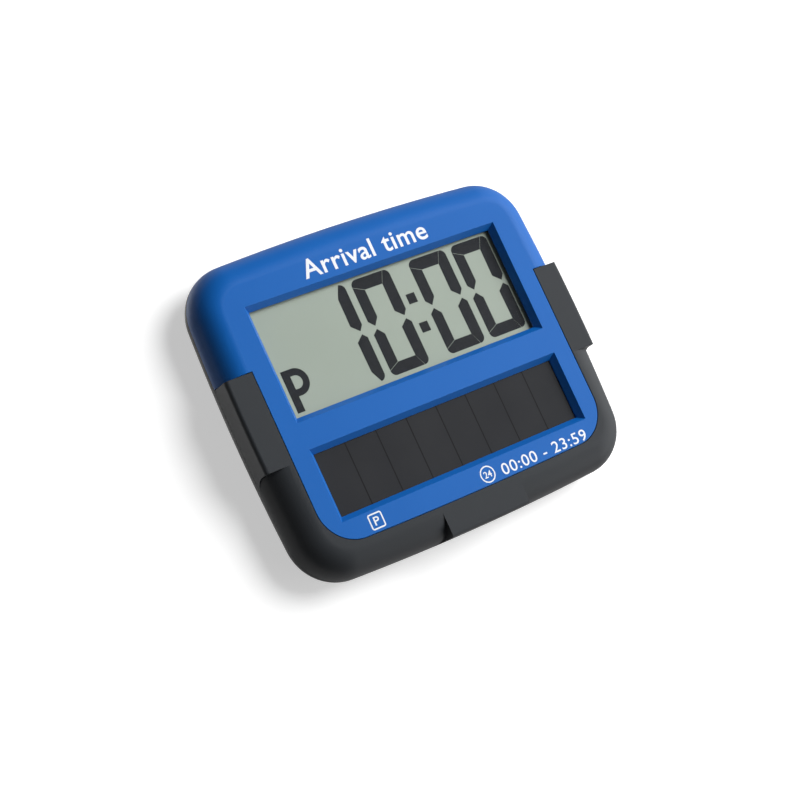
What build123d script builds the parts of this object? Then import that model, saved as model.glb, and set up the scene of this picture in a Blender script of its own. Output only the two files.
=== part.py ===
"""Solar electronic parking disc for a car windscreen, as separate pieces in millimetres.

The disc stands as it is used: its face looks along -Y, +X is right as the reader sees it and +Z is up.
The origin is the middle of the flat face, which is the plane Y = 0, and the casing reaches back along +Y.
A depth below is a distance behind that face.
"""

import os

from build123d import *

# Casing, seen from the front
body_width = 102.0
body_height = 84.0
side_bow = 1.6  # how far each side swells out past the corners of the outline
corner_radius = 13.0
front_roll = 7.0
rear_roll = 6.3
parting_depth = 7.05
parting_gap = 0.1
front_wall = 2.0
side_wall = 2.2
rear_wall = 1.8

# Bezel around the lower half, and the three flat pads that meet the glass
bezel_wall = 1.1
bezel_gap = 0.08
seam_gap = 0.15
seam_inset = 7.9  # from the side of the casing to the edge of the front panel
seam_drop = 8.2  # from the bottom of the casing to the edge of the front panel
seam_radius = 9.0
pad_length = 24.1
pad_rise = 1.2  # the side pads' middle above the casing's middle
pad_edge = 0.8
pad_blend = 4.2

# Windows
window_width = 76.0
display_height = 30.6
solar_height = 18.9
window_top_margin = 13.6
window_spacing = 6.9
bevel_width = 1.3
bevel_depth = 1.7

# Display stack, from the front
lens_thickness = 0.8
glass_thickness = 0.65
reflector_thickness = 0.2
glass_overlap = 1.2  # how far the glass reaches past the clear window
contact_ledge = 2.5
layer_gap = 0.05
carrier_wall = 0.8
carrier_base = 1.5
carrier_clearance = 0.1
zebra_width = 1.0
zebra_length = 60.0

# Solar stack
solar_thickness = 1.1
solar_overlap = 1.5
ribbon_width = 8.0
ribbon_thickness = 0.2

# Circuit board and what is on it; a rise is measured from the board's lower edge
pcb_thickness = 1.0
pcb_side_gap = 5.4
pcb_top_gap = 5.0
pcb_corner = 10.0
pcb_below_carrier = 3.5
chip_size = 10.0
chip_thickness = 1.4
chip_x = -22.0
chip_rise = 12.5
crystal_radius = 1.0
crystal_length = 6.0
crystal_x = -11.0
crystal_rise = 10.5
sensor_size = 5.0
sensor_height = 3.0
sensor_x = 0.0
sensor_rise = 10.5
resistor_size = (2.0, 1.2, 0.5)
resistor_columns = 2
resistor_rows = 4
resistor_x = 11.5
resistor_rise = 11.5
capacitor_radius = 2.2
capacitor_length = 9.0
capacitor_x = 24.0
capacitor_rise = 11.5

# Keys and their switches
key_pitch = 16.0
key_top_gap = 20.0
key_length = 9.7
key_width = 5.1
key_proud = 0.5
key_clearance = 0.15
key_flange = 0.9
key_flange_thickness = 0.8
key_stop_gap = 0.1
key_travel = 0.35
switch_size = 6.0
switch_height = 3.1
plunger_radius = 1.7
plunger_clearance = 0.05
plunger_engagement = 2.0
plunger_proud = 0.5

# Coin cells, their bay and its door
cell_radius = 12.25
cell_thickness = 5.0
cell_step = 0.6
cell_clearance = 0.3
cell_gap = 1.3
cell_slack = 0.4  # between a cell and the closed door
contact_thickness = 0.2
contact_width = 5.0
bay_floor = 1.0
bay_wall = 1.1
bay_gap = 1.05  # between the circuit board's lower edge and the bay
door_thickness = 1.1
door_side_cover = 3.05  # how far the door reaches past the cells' pockets at each side
door_top_cover = 0.75
door_tongue = 1.2
door_tongue_thickness = 0.55
door_gap = 0.15
door_grip_count = 5
door_grip_pitch = 1.6
door_grip_width = 13.0
door_grip_depth = 0.3

# Screws
case_screw_wall = 3.6  # between the door's groove and the screw heads' seats
case_screw_rise = 10.7  # of the lower two, from the bottom of the casing
boss_radius = 2.4
screw_radius = 1.0
screw_length = 8.0
screw_head_radius = 1.9
screw_head_height = 1.2
screw_clearance = 0.15
thread_clearance = 0.02
boss_gap = 0.1
pcb_screw_inset = 3.2
pcb_screw_rises = (6.5, 26.5)
pcb_boss_radius = 1.9
pcb_screw_radius = 0.8
pcb_screw_length = 4.0
pcb_screw_head_radius = 1.5
pcb_screw_head_height = 0.8

# Lip and snap hooks that key the rear cover into the front shell
lip_gap = 0.2
lip_wall = 0.8
lip_reach = 1.05
lip_root_height = 1.2
hook_width = 6.0
hook_height = 0.5
hook_proud = 0.35
hook_spacing = 30.0
hook_clearance = 0.15

# Places that follow from the sizes above
half_width = body_width / 2
half_height = body_height / 2
seam_half_width = half_width - seam_inset
seam_bottom = -half_height + seam_drop
pad_top = pad_rise + pad_length / 2
display_z = half_height - window_top_margin - display_height / 2
solar_z = display_z - display_height / 2 - window_spacing - solar_height / 2
middle_z = (display_z - display_height / 2 + solar_z + solar_height / 2) / 2
lens_back = front_wall + lens_thickness
glass_front = lens_back + layer_gap
glass_middle = glass_front + glass_thickness
glass_back = glass_middle + glass_thickness
glass_half_width = window_width / 2 - bevel_width + glass_overlap
glass_half_height = display_height / 2 - bevel_width + glass_overlap
glass_top = display_z + glass_half_height
zebra_z = glass_top + contact_ledge / 2 + zebra_width / 4
carrier_floor = glass_back + reflector_thickness + layer_gap
carrier_top = glass_top + contact_ledge + carrier_clearance + carrier_wall
carrier_bottom = display_z - glass_half_height - carrier_clearance - carrier_wall
pcb_front = carrier_floor + carrier_base
pcb_back = pcb_front + pcb_thickness
pcb_half_width = half_width - pcb_side_gap
pcb_top = half_height - pcb_top_gap
pcb_bottom = carrier_bottom - pcb_below_carrier
cell_x = cell_radius + cell_gap / 2
cell_front = pcb_back + contact_thickness
pocket_radius = cell_radius + cell_clearance
cell_z = pcb_bottom - bay_gap - bay_wall - pocket_radius
bay_half_width = cell_x + pocket_radius + bay_wall
bay_top = cell_z + pocket_radius + bay_wall
bay_bottom = cell_z - pocket_radius - bay_wall - cell_clearance
door_inner = cell_front + cell_thickness + cell_slack
door_shoulder = door_inner + door_tongue_thickness
door_half_width = cell_x + pocket_radius + door_side_cover
door_top = cell_z + pocket_radius + door_top_cover
body_depth = door_inner + door_thickness
rear_inner = body_depth - rear_wall
key_centres = {"left": key_pitch, "middle": 0.0, "right": -key_pitch}  # left and right as seen from behind
key_z = half_height - key_top_gap
flange_back = rear_inner - key_stop_gap
switch_back = pcb_back + switch_height
lip_front = parting_depth - lip_reach
lip_root = parting_depth + parting_gap + lip_root_height
lip_inset = side_wall + lip_gap + lip_wall
hook_depth = lip_wall + lip_gap + hook_proud
hook_z = half_height - lip_inset + hook_depth / 2
groove_side = door_half_width + door_tongue + door_gap
case_screw_x = groove_side + case_screw_wall + screw_head_radius + screw_clearance
case_screw_low = -half_height + case_screw_rise
case_screw_places = [(side * case_screw_x, z) for side in (-1, 1) for z in (middle_z, case_screw_low)]
pcb_screw_x = pcb_half_width - pcb_screw_inset
pcb_screw_places = [(side * pcb_screw_x, pcb_bottom + rise) for side in (-1, 1) for rise in pcb_screw_rises]
FAR = 2 * body_width

os.makedirs("parts", exist_ok=True)


def behind(depth):
    """The plane parallel to the face, a depth behind it; its X and Y run along the world's X and Z."""
    return Plane.XZ.offset(-depth)


def finish(piece, name):
    """Label one finished piece and write it."""
    piece.part.label = name
    export_step(piece.part, f"parts/{name}.step")


def outline(inset):
    """The casing's outline with bowed sides and rounded corners, moved inwards by an inset."""
    x = half_width - inset
    z = half_height - inset
    corner_x = x - side_bow
    corner_z = z - side_bow
    with BuildSketch() as shape:
        with BuildLine():
            ThreePointArc((-corner_x, corner_z), (0, z), (corner_x, corner_z))
            ThreePointArc((corner_x, corner_z), (x, 0), (corner_x, -corner_z))
            ThreePointArc((corner_x, -corner_z), (0, -z), (-corner_x, -corner_z))
            ThreePointArc((-corner_x, -corner_z), (-x, 0), (-corner_x, corner_z))
        make_face()
        fillet(shape.vertices(), corner_radius - inset)
    return shape.sketch


def casing_form(inset, front, back, front_radius=0.0, rear_radius=0.0):
    """The casing's form between two depths, moved inwards by an inset, with its edges rolled."""
    with BuildPart() as form:
        with BuildSketch(behind(front)):
            add(outline(inset))
        extrude(amount=front - back)
        if front_radius:
            fillet(form.faces().sort_by(Axis.Y)[0].edges(), front_radius)
        if rear_radius:
            fillet(form.faces().sort_by(Axis.Y)[-1].edges(), rear_radius)
    return form.part


def pad_zone():
    """The three places where the casing keeps its full front plane out to its sides, with scooped ends."""
    side_plane = Plane(origin=(0, 0, pad_rise), x_dir=(0, 0, 1), z_dir=(-1, 0, 0))
    bottom_plane = Plane.XY.offset(-half_height)
    with BuildPart() as zone:
        for plane, reach in ((side_plane, FAR), (bottom_plane, seam_drop)):
            with BuildSketch(plane):
                with Locations((0, parting_depth / 2)):
                    Rectangle(pad_length + 2 * pad_blend, parting_depth)
                scoop_centres = [(end * (pad_length / 2 + pad_blend), 0) for end in (-1, 1)]
                with Locations(scoop_centres):
                    Rectangle(2 * pad_blend, 2 * (parting_depth - pad_blend), mode=Mode.SUBTRACT)
                    with Locations((0, parting_depth - pad_blend)):
                        Circle(pad_blend, mode=Mode.SUBTRACT)
            extrude(amount=reach, both=True)
        with BuildSketch(behind(0)):
            with Locations((0, half_height)):
                Rectangle(2 * seam_half_width, 2 * (half_height - seam_bottom))
        extrude(amount=-parting_depth, mode=Mode.SUBTRACT)
    return zone.part


def bezel_zone(grow):
    """Where the bezel lies: outside the front panel's edge and below the top of the side pads."""
    with BuildPart() as zone:
        with BuildSketch(behind(0)):
            with Locations((0, pad_top - grow - FAR / 2)):
                Rectangle(FAR, FAR)
            with Locations((0, (half_height + seam_bottom) / 2)):
                RectangleRounded(
                    2 * (seam_half_width + grow),
                    half_height - seam_bottom + 2 * grow,
                    seam_radius + grow,
                    mode=Mode.SUBTRACT,
                )
        extrude(amount=-parting_depth)
    return zone.part


def screw(places, tip, head_front, shank_radius, head_radius, head_height):
    """Screws driven in from behind: the tip and the underside of the head are depths."""
    with BuildPart() as screws:
        with BuildSketch(behind(tip)):
            with Locations(places):
                Circle(shank_radius)
        extrude(amount=tip - head_front)
        with BuildSketch(behind(head_front)):
            with Locations(places):
                Circle(head_radius)
        extrude(amount=-head_height)
        with BuildSketch(behind(head_front + head_height)):
            with Locations(places):
                RegularPolygon(head_radius / 2, 6)
        extrude(amount=head_height / 2, mode=Mode.SUBTRACT)
    return screws


def bar(width, height, front, back, centre=(0, 0)):
    """A plain block between two depths, centred on a place on the face."""
    with BuildPart() as block:
        with BuildSketch(behind(front)):
            with Locations(centre):
                Rectangle(width, height)
        extrude(amount=front - back)
    return block


# Forms that several pieces share
square_form = casing_form(0, 0, parting_depth, front_radius=pad_edge)
with BuildPart() as front_form:
    add(casing_form(0, 0, parting_depth, front_radius=front_roll))
    add(square_form & pad_zone())
front_cavity = casing_form(side_wall, front_wall, parting_depth, front_radius=front_roll - side_wall)
rear_form = casing_form(0, parting_depth + parting_gap, body_depth, rear_radius=rear_roll)
rear_cavity = casing_form(side_wall, parting_depth, rear_inner, rear_radius=rear_roll - side_wall)

# Front shell: blue moulded face with the two bevelled windows, and a step that the bezel fits over
bezel_seat = casing_form(
    bezel_wall + bezel_gap,
    bezel_wall + bezel_gap,
    parting_depth,
    front_radius=front_roll - bezel_wall - bezel_gap,
)
bezel_room = bezel_zone(0) - bezel_seat
with BuildPart() as front_shell:
    add(front_form.part)
    add(front_cavity, mode=Mode.SUBTRACT)
    with BuildSketch(behind(front_wall)):
        with Locations(case_screw_places):
            Circle(boss_radius)
    extrude(amount=front_wall - parting_depth)
    with BuildSketch(behind(front_wall)):
        with Locations(pcb_screw_places):
            Circle(pcb_boss_radius)
    extrude(amount=front_wall - pcb_front)
    add(bezel_room, mode=Mode.SUBTRACT)
    for window_z, window_height in ((display_z, display_height), (solar_z, solar_height)):
        with BuildSketch(behind(0)):
            with Locations((0, window_z)):
                Rectangle(window_width, window_height)
        with BuildSketch(behind(bevel_depth)):
            with Locations((0, window_z)):
                Rectangle(window_width - 2 * bevel_width, window_height - 2 * bevel_width)
        loft(mode=Mode.SUBTRACT)
        with BuildSketch(behind(bevel_depth)):
            with Locations((0, window_z)):
                Rectangle(window_width - 2 * bevel_width, window_height - 2 * bevel_width)
        extrude(amount=bevel_depth - front_wall, mode=Mode.SUBTRACT)
    with BuildSketch(behind(parting_depth)):
        with Locations(case_screw_places):
            Circle(screw_radius + thread_clearance)
    extrude(amount=parting_depth - front_wall, mode=Mode.SUBTRACT)
    with BuildSketch(behind(pcb_front)):
        with Locations(pcb_screw_places):
            Circle(pcb_screw_radius + thread_clearance)
    extrude(amount=pcb_front - front_wall, mode=Mode.SUBTRACT)
    with BuildSketch(behind(lip_front)):
        with Locations((-hook_spacing / 2, hook_z), (hook_spacing / 2, hook_z)):
            Rectangle(hook_width + 2 * hook_clearance, hook_depth + 2 * hook_clearance)
    extrude(amount=-hook_height - 2 * hook_clearance, mode=Mode.SUBTRACT)
finish(front_shell, "front_shell")

# Lower bezel: grey U around the lower half, flush with the face, with the three flat pads
bezel_core = casing_form(bezel_wall, bezel_wall, parting_depth, front_radius=front_roll - bezel_wall)
with BuildPart() as lower_bezel:
    add(front_form.part & bezel_zone(seam_gap))
    add(bezel_core, mode=Mode.SUBTRACT)
finish(lower_bezel, "lower_bezel")

# Battery door: a plate flush with the back that slides down, held by a tongue along each side
door_reach = body_height
with BuildPart() as door_blank:
    with BuildSketch(behind(door_inner)):
        with Locations((0, door_top - door_reach / 2)):
            Rectangle(2 * (door_half_width + door_tongue), door_reach)
    extrude(amount=-door_tongue_thickness)
    with BuildSketch(behind(door_shoulder)):
        with Locations((0, door_top - door_reach / 2)):
            Rectangle(2 * door_half_width, door_reach)
    extrude(amount=door_shoulder - body_depth)
with BuildPart() as battery_door:
    add(door_blank.part)
    add(rear_form, mode=Mode.INTERSECT)
    with BuildSketch(behind(body_depth)):
        with Locations((0, door_top - door_grip_count * door_grip_pitch)):
            with GridLocations(0, door_grip_pitch, 1, door_grip_count):
                Rectangle(door_grip_width, door_grip_pitch / 2)
    extrude(amount=door_grip_depth, mode=Mode.SUBTRACT)
finish(battery_door, "battery_door")

# Rear cover: back shell with the cell bay, the door's grooves, the key holes and the screw tubes
with BuildPart() as rear_cover:
    add(rear_form)
    add(rear_cavity, mode=Mode.SUBTRACT)
    with BuildSketch(behind(lip_front)):
        add(outline(side_wall + lip_gap))
        add(outline(lip_inset), mode=Mode.SUBTRACT)
    extrude(amount=lip_front - lip_root)
    with BuildSketch(behind(parting_depth + parting_gap)):
        add(outline(side_wall / 2))
        add(outline(lip_inset), mode=Mode.SUBTRACT)
    extrude(amount=parting_depth + parting_gap - lip_root)
    with BuildSketch(behind(lip_front + hook_clearance)):
        with Locations((-hook_spacing / 2, hook_z), (hook_spacing / 2, hook_z)):
            Rectangle(hook_width, hook_depth)
    extrude(amount=-hook_height)
    with BuildSketch(behind(parting_depth + boss_gap)):
        with Locations(case_screw_places):
            Circle(boss_radius + screw_clearance)
    extrude(amount=parting_depth + boss_gap - rear_inner)
    with BuildSketch(behind(pcb_back - bay_floor)):
        with Locations((0, (bay_top + bay_bottom) / 2)):
            Rectangle(2 * bay_half_width, bay_top - bay_bottom)
    extrude(amount=pcb_back - bay_floor - rear_inner)
    with BuildSketch(behind(pcb_back)):
        with Locations((-cell_x, cell_z), (cell_x, cell_z)):
            Circle(pocket_radius)
        with Locations((0, cell_z)):
            Rectangle(2 * cell_x, cell_radius)
    extrude(amount=pcb_back - body_depth, mode=Mode.SUBTRACT)
    with BuildSketch(behind(pcb_back)):
        with Locations((-cell_x, cell_z + cell_radius), (cell_x, cell_z + cell_radius)):
            Rectangle(contact_width + 2 * cell_clearance, 2 * cell_radius)
        with Locations((0, cell_z + cell_radius)):
            Rectangle(contact_width / 2 + 2 * cell_clearance, 2 * cell_radius)
    extrude(amount=-contact_thickness - cell_clearance, mode=Mode.SUBTRACT)
    door_room = door_top + door_gap
    with BuildSketch(behind(door_inner - door_gap)):
        with Locations((0, door_room - door_reach / 2)):
            Rectangle(2 * groove_side, door_reach)
    extrude(amount=-door_gap - door_tongue_thickness - door_gap / 2, mode=Mode.SUBTRACT)
    with BuildSketch(behind(door_inner)):
        with Locations((0, door_room - door_reach / 2)):
            Rectangle(2 * (door_half_width + door_gap), door_reach)
    extrude(amount=door_inner - body_depth, mode=Mode.SUBTRACT)
    with BuildSketch(behind(rear_inner)):
        with Locations((0, key_z)):
            with GridLocations(key_pitch, 0, 3, 1):
                SlotOverall(key_length + 2 * key_clearance, key_width + 2 * key_clearance)
    extrude(amount=rear_inner - body_depth, mode=Mode.SUBTRACT)
    with BuildSketch(behind(parting_depth)):
        with Locations(case_screw_places):
            Circle(screw_radius + screw_clearance)
    extrude(amount=parting_depth - body_depth, mode=Mode.SUBTRACT)
    screw_seat = parting_depth + (body_depth - parting_depth) / 2
    with BuildSketch(behind(screw_seat)):
        with Locations(case_screw_places):
            Circle(screw_head_radius + screw_clearance)
    extrude(amount=screw_seat - body_depth, mode=Mode.SUBTRACT)
finish(rear_cover, "rear_cover")

case_screws = screw(
    case_screw_places,
    screw_seat - screw_length + boss_gap,
    screw_seat,
    screw_radius,
    screw_head_radius,
    screw_head_height,
)
finish(case_screws, "case_screws")

# Display: clear lens bonded behind the window, two glass plates, a reflector and the carrier that holds them
display_lens = bar(
    2 * glass_half_width + 2 * carrier_clearance,
    2 * glass_half_height + 2 * carrier_clearance,
    front_wall,
    lens_back,
    (0, display_z),
)
finish(display_lens, "display_lens")
lcd_front_glass = bar(
    2 * glass_half_width,
    2 * glass_half_height + contact_ledge,
    glass_front,
    glass_middle,
    (0, display_z + contact_ledge / 2),
)
finish(lcd_front_glass, "lcd_front_glass")
lcd_rear_glass = bar(2 * glass_half_width, 2 * glass_half_height, glass_middle, glass_back, (0, display_z))
finish(lcd_rear_glass, "lcd_rear_glass")
lcd_reflector = bar(
    2 * glass_half_width,
    2 * glass_half_height,
    glass_back,
    glass_back + reflector_thickness,
    (0, display_z),
)
finish(lcd_reflector, "lcd_reflector")

with BuildPart() as lcd_carrier:
    with BuildSketch(behind(glass_front)):
        with Locations((0, (carrier_top + carrier_bottom) / 2)):
            Rectangle(2 * (glass_half_width + carrier_clearance + carrier_wall), carrier_top - carrier_bottom)
    extrude(amount=glass_front - pcb_front)
    with BuildSketch(behind(glass_front)):
        with Locations((0, display_z)):
            Rectangle(2 * (glass_half_width + carrier_clearance), 2 * (glass_half_height + carrier_clearance))
    extrude(amount=glass_front - carrier_floor, mode=Mode.SUBTRACT)
    with BuildSketch(behind(glass_front)):
        with Locations((0, glass_top + contact_ledge / 2)):
            Rectangle(2 * (glass_half_width + carrier_clearance), contact_ledge + 2 * carrier_clearance)
    extrude(amount=glass_front - glass_middle - layer_gap, mode=Mode.SUBTRACT)
    with BuildSketch(behind(glass_middle)):
        with Locations((0, zebra_z)):
            Rectangle(zebra_length + 2 * carrier_clearance, zebra_width + 2 * carrier_clearance)
    extrude(amount=glass_middle - pcb_front, mode=Mode.SUBTRACT)
finish(lcd_carrier, "lcd_carrier")

zebra_strip = bar(zebra_length, zebra_width, glass_middle, pcb_front, (0, zebra_z))
finish(zebra_strip, "zebra_strip")

# Solar cells on one glass plate, pressed to the window by foam against the cell bay's floor
solar_back = front_wall + solar_thickness
solar_half_width = window_width / 2 - bevel_width + solar_overlap
solar_half_height = solar_height / 2 - bevel_width + solar_overlap
solar_panel = bar(2 * solar_half_width, 2 * solar_half_height, front_wall, solar_back, (0, solar_z))
finish(solar_panel, "solar_panel")

bay_front = pcb_back - bay_floor
foam_top = solar_z + solar_half_height / 3
foam_bottom = solar_z - solar_half_height + carrier_wall
solar_foam = bar(
    2 * bay_half_width,
    foam_top - foam_bottom,
    solar_back,
    bay_front,
    (0, (foam_top + foam_bottom) / 2),
)
finish(solar_foam, "solar_foam")

# Flat ribbon from the back of the solar plate up to the circuit board
ribbon_foot = solar_z + solar_half_height / 2
ribbon_bend = solar_z + solar_half_height - carrier_wall
with BuildPart() as solar_ribbon:
    with BuildSketch(Plane.YZ):
        with BuildLine():
            Polyline(
                (solar_back, ribbon_foot),
                (solar_back, ribbon_bend),
                (pcb_front - ribbon_thickness, pcb_bottom),
                (pcb_front - ribbon_thickness, pcb_bottom + ribbon_width / 4),
                (pcb_front, pcb_bottom + ribbon_width / 4),
                (pcb_front, pcb_bottom - ribbon_thickness),
                (solar_back + ribbon_thickness, ribbon_bend - ribbon_thickness),
                (solar_back + ribbon_thickness, ribbon_foot),
                close=True,
            )
        make_face()
    extrude(amount=ribbon_width / 2, both=True)
finish(solar_ribbon, "solar_ribbon")

# Circuit board, screwed to the front shell
with BuildPart() as main_pcb:
    with BuildSketch(behind(pcb_front)) as board:
        with Locations((0, (pcb_top + pcb_bottom) / 2)):
            Rectangle(2 * pcb_half_width, pcb_top - pcb_bottom)
        fillet(board.vertices().group_by(Axis.Y)[-1], pcb_corner)
        with Locations((-case_screw_x, middle_z), (case_screw_x, middle_z)):
            Circle(boss_radius + 2 * cell_clearance, mode=Mode.SUBTRACT)
        with Locations(pcb_screw_places):
            Circle(pcb_screw_radius + screw_clearance, mode=Mode.SUBTRACT)
    extrude(amount=-pcb_thickness)
finish(main_pcb, "main_pcb")

pcb_screws = screw(
    pcb_screw_places,
    pcb_back - pcb_screw_length,
    pcb_back,
    pcb_screw_radius,
    pcb_screw_head_radius,
    pcb_screw_head_height,
)
finish(pcb_screws, "pcb_screws")

# Parts soldered to the back of the board
microcontroller = bar(
    chip_size,
    chip_size,
    pcb_back,
    pcb_back + chip_thickness,
    (chip_x, pcb_bottom + chip_rise),
)
finish(microcontroller, "microcontroller")

motion_sensor = bar(
    sensor_size,
    sensor_size,
    pcb_back,
    pcb_back + sensor_height,
    (sensor_x, pcb_bottom + sensor_rise),
)
finish(motion_sensor, "motion_sensor")

with BuildPart() as quartz_crystal:
    with Locations(Location((crystal_x, pcb_back + crystal_radius, pcb_bottom + crystal_rise))):
        Cylinder(crystal_radius, crystal_length)
finish(quartz_crystal, "quartz_crystal")

with BuildPart() as storage_capacitor:
    with Locations(Location((capacitor_x, pcb_back + capacitor_radius, pcb_bottom + capacitor_rise))):
        Cylinder(capacitor_radius, capacitor_length)
    fillet(storage_capacitor.faces().sort_by(Axis.Z)[-1].edges(), capacitor_radius / 4)
finish(storage_capacitor, "storage_capacitor")

with BuildPart() as chip_resistors:
    with BuildSketch(behind(pcb_back)):
        with Locations((resistor_x, pcb_bottom + resistor_rise)):
            with GridLocations(2 * resistor_size[0], 2 * resistor_size[1], resistor_columns, resistor_rows):
                Rectangle(resistor_size[0], resistor_size[1])
    extrude(amount=-resistor_size[2])
finish(chip_resistors, "chip_resistors")

# Three keys, each pressing the plunger of its own switch
plunger_front = switch_back - plunger_engagement
plunger_back = switch_back + plunger_proud
flange_front = flange_back - key_flange_thickness
for side, key_x in key_centres.items():
    place = (key_x, key_z)
    with BuildPart() as switch_case:
        with BuildSketch(behind(pcb_back)):
            with Locations(place):
                Rectangle(switch_size, switch_size)
        extrude(amount=-switch_height)
        with BuildSketch(behind(plunger_front - key_travel - key_clearance)):
            with Locations(place):
                Circle(plunger_radius + plunger_clearance)
        extrude(amount=-switch_height, mode=Mode.SUBTRACT)
    finish(switch_case, f"switch_case_{side}")

    with BuildPart() as switch_plunger:
        with BuildSketch(behind(plunger_front)):
            with Locations(place):
                Circle(plunger_radius)
        extrude(amount=plunger_front - plunger_back)
    finish(switch_plunger, f"switch_plunger_{side}")

    with BuildPart() as key:
        with BuildSketch(behind(plunger_back)):
            with Locations(place):
                Circle(plunger_radius)
        extrude(amount=plunger_back - flange_front)
        with BuildSketch(behind(flange_front)):
            with Locations(place):
                SlotOverall(key_length + 2 * key_flange, key_width + 2 * key_flange)
        extrude(amount=flange_front - flange_back)
        with BuildSketch(behind(flange_back)):
            with Locations(place):
                SlotOverall(key_length, key_width)
        extrude(amount=flange_back - body_depth - key_proud)
        fillet(key.faces().sort_by(Axis.Y)[-1].edges(), key_proud * 0.9)
    finish(key, f"key_{side}")

# Two coin cells with their stepped rims
for side, cell_sign in (("left", 1), ("right", -1)):
    place = (cell_sign * cell_x, cell_z)
    with BuildPart() as coin_cell:
        with BuildSketch(behind(cell_front)):
            with Locations(place):
                Circle(cell_radius - 2 * cell_step)
        extrude(amount=-cell_step)
        with BuildSketch(behind(cell_front + cell_step)):
            with Locations(place):
                Circle(cell_radius)
        extrude(amount=cell_step - cell_thickness)
        fillet(coin_cell.faces().sort_by(Axis.Y)[-1].edges(), cell_step / 2)
    finish(coin_cell, f"coin_cell_{side}")

# Sheet-metal contacts: a strip under each cell, and a blade between the two rims
contact_top = pcb_bottom + contact_width / 2
strip_bottom = cell_z - cell_radius / 2
with BuildPart() as negative_contacts:
    with BuildSketch(behind(pcb_back)):
        with Locations(
            (-cell_x, (contact_top + strip_bottom) / 2),
            (cell_x, (contact_top + strip_bottom) / 2),
        ):
            Rectangle(contact_width, contact_top - strip_bottom)
    extrude(amount=-contact_thickness)
finish(negative_contacts, "negative_contacts")

blade_height = cell_thickness - 2 * cell_step
with BuildPart() as positive_contact:
    with BuildSketch(behind(pcb_back)):
        with Locations((0, (contact_top + strip_bottom) / 2)):
            Rectangle(contact_width / 2, contact_top - strip_bottom)
    extrude(amount=-contact_thickness)
    with BuildSketch(behind(cell_front)):
        with Locations((0, cell_z)):
            Rectangle(contact_thickness, cell_radius / 2)
    extrude(amount=-blade_height)
finish(positive_contact, "positive_contact")
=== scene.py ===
"""Solar electronic parking disc for a car windscreen: its finished looks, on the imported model."""

import math

import bmesh
import bpy
from mathutils import Matrix, Vector
from mathutils.geometry import intersect_sphere_sphere_2d


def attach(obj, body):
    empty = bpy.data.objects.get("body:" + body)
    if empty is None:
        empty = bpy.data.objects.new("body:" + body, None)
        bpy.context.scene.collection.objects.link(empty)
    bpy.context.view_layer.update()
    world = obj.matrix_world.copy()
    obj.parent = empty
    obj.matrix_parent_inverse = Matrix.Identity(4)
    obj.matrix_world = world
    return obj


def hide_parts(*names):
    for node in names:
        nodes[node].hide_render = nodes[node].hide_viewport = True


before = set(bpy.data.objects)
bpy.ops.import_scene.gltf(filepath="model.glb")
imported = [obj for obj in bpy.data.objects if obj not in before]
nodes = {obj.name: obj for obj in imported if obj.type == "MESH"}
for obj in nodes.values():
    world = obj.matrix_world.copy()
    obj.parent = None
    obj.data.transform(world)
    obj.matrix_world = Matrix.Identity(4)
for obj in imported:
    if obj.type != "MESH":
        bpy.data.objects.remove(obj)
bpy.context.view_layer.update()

# Front shell. One injection-moulded piece of fine-textured blue plastic, with rolled edges and two
# bevelled windows. It is stepped back around its lower half, where the grey bezel is pressed on.
# Lengths are in millimetres and depths run backwards from the face, until a piece is put in place.
half_width, half_height = 51.0, 42.0
side_bow = 1.6
corner_radius = 13.0
front_roll = 7.0
parting_depth = 7.05
side_wall, front_wall = 2.2, 2.0
print_room = 0.03  # how far the blue face lies behind the pads, to keep the printing inside them
seam_half_width = 43.1
seam_bottom = -33.8
seam_radius = 9.5
seam_gap = 0.2
seam_bow = 0.7
pad_middle, pad_half_length = 1.2, 12.05
bezel_wall, bezel_gap = 1.1, 0.08
window_half_width = 38.0
display_middle, display_half_height = 13.1, 15.3
solar_middle, solar_half_height = -18.55, 9.45
bevel_width, bevel_depth = 1.3, 1.7
edge_softness = 0.16
same = 0.001  # lengths that differ by less than this are the same
sharp_turn = 0.6  # radians between two faces, past which their edge is a corner
nearly_flat = 0.002  # radians between two faces, below which they are one
well_ahead, well_behind, well_beside = -5.0, 20.0, 80.0  # tools that reach these pass the casing


def outline(inset, depth):
    """The casing's outline: bowed sides that run into round corners, as one face at a depth."""
    x, z = half_width - inset, half_height - inset
    round_radius = corner_radius - inset
    top_radius = ((x - side_bow) ** 2 + side_bow**2) / (2 * side_bow)
    side_radius = ((z - side_bow) ** 2 + side_bow**2) / (2 * side_bow)
    top_centre, side_centre = Vector((0, z - top_radius)), Vector((x - side_radius, 0))
    crossings = intersect_sphere_sphere_2d(
        top_centre, top_radius - round_radius, side_centre, side_radius - round_radius
    )
    corner = max(crossings, key=lambda point: point.x + point.y)
    top_turn = math.atan2(corner.x - top_centre.x, corner.y - top_centre.y)
    side_turn = math.atan2(corner.x - side_centre.x, corner.y - side_centre.y)
    bm = bmesh.new()
    last = [bm.verts.new((0, depth, z))]
    for centre, turn, steps in (
        (top_centre, top_turn, 14),
        (corner, side_turn - top_turn, 22),
        (side_centre, math.pi / 2 - side_turn, 12),
    ):
        spun = bmesh.ops.spin(
            bm, geom=last, cent=(centre.x, depth, centre.y), axis=(0, 1, 0), angle=turn, steps=steps
        )
        last = [item for item in spun["geom_last"] if isinstance(item, bmesh.types.BMVert)]
    for axis in "XZ":
        bmesh.ops.mirror(bm, geom=bm.verts[:] + bm.edges[:], axis=axis, merge_dist=same)
    bmesh.ops.remove_doubles(bm, verts=bm.verts, dist=same)
    bmesh.ops.contextual_create(bm, geom=bm.edges[:])
    return bm


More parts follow.
